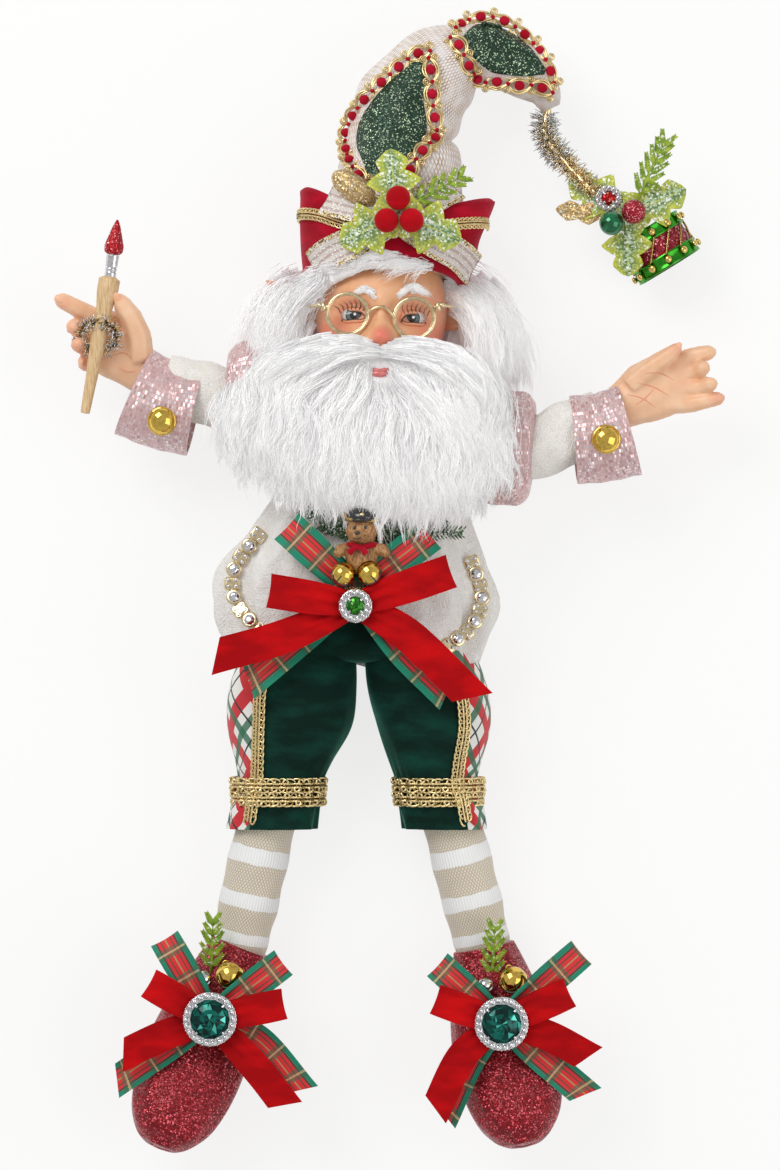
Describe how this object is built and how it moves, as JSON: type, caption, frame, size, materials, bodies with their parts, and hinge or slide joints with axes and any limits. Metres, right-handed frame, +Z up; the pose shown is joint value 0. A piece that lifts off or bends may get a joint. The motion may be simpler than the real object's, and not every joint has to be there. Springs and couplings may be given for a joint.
{
  "type": "elf figurine",
  "caption": "Soft-bodied festive elf figurine in a curled hat, plush coat and velvet breeches, lying on its back with a paintbrush in one hand.",
  "frame": {"origin": "on the flat of the coat's back, under the waist, which is also the middle of the footprint", "axes": "+Y from the shoes to the hat, the longest extent; +X to the right seen from the front; +Z up from the floor, out of the figure's chest, the shortest extent"},
  "size_m": [0.2956, 0.4986, 0.0938],
  "materials": {
    "skin": "satin painted resin",
    "white_fur": "long soft faux fur",
    "white_plush": "crushed plush",
    "pink_sequin": "sequinned cloth",
    "green_velvet": "velvet with plaid side panels",
    "red_velvet": "velvet",
    "plaid_ribbon": "woven ribbon",
    "sheer_ribbon": "sheer ribbon with metallic edges",
    "hat_mesh": "metallic mesh and glitter panels",
    "stocking_mesh": "knit bands",
    "red_glitter": "glitter",
    "gold": "polished",
    "silver": "polished",
    "gold_glitter": "glitter",
    "holly": "frosted glitter",
    "pine": "frosted",
    "berry": "gloss lacquer",
    "green_stone": "faceted stone",
    "green_metal": "metallic lacquer",
    "tinsel": "metallic foil",
    "wood": "bare wood",
    "bear": "painted resin"
  },
  "bodies": {
    "root": {"head": "skin", "left_hand": "skin", "right_hand": "skin", "beard": "white_fur", "wig": "white_fur", "plush_coat": "white_plush", "left_sleeve": "white_plush", "right_sleeve": "white_plush", "stuffed_torso": "white_plush", "left_cap_sleeve": "pink_sequin", "right_cap_sleeve": "pink_sequin", "left_cuff": "pink_sequin", "right_cuff": "pink_sequin", "velvet_breeches": "green_velvet", "velvet_waist_bow": "red_velvet", "left_shoe_velvet_bow": "red_velvet", "right_shoe_velvet_bow": "red_velvet", "hat_brim": "red_velvet", "plaid_waist_bow": "plaid_ribbon", "left_shoe_plaid_bow": "plaid_ribbon", "right_shoe_plaid_bow": "plaid_ribbon", "sheer_hat_bow": "sheer_ribbon", "hat_cone": "hat_mesh", "left_stocking": "stocking_mesh", "right_stocking": "stocking_mesh", "left_shoe": "red_glitter", "right_shoe": "red_glitter", "brush_bristles": "red_glitter", "red_bauble": "red_glitter", "left_coat_trim": "gold", "right_coat_trim": "gold", "left_cuff_button": "gold", "right_cuff_button": "gold", "left_waist_bell": "gold", "right_waist_bell": "gold", "left_shoe_bell": "gold", "right_shoe_bell": "gold", "spectacles": "gold", "brush_ferrule": "silver", "waist_jewel": "silver", "ornament_jewel": "silver", "left_shoe_bead": "silver", "right_shoe_bead": "silver", "glitter_pod": "gold_glitter", "gold_glitter_leaf": "gold_glitter", "hat_holly": "holly", "ornament_holly": "holly", "hat_sprig": "holly", "ornament_sprig": "holly", "left_shoe_sprig": "holly", "right_shoe_sprig": "holly", "pine_sprays": "pine", "hat_berries": "berry", "left_shoe_jewel": "green_stone", "right_shoe_jewel": "green_stone", "drum_ornament": "green_metal", "green_bauble": "green_metal", "tinsel_stem": "tinsel", "brush_handle": "wood", "resin_bear": "bear"}
  },
  "joints": []
}
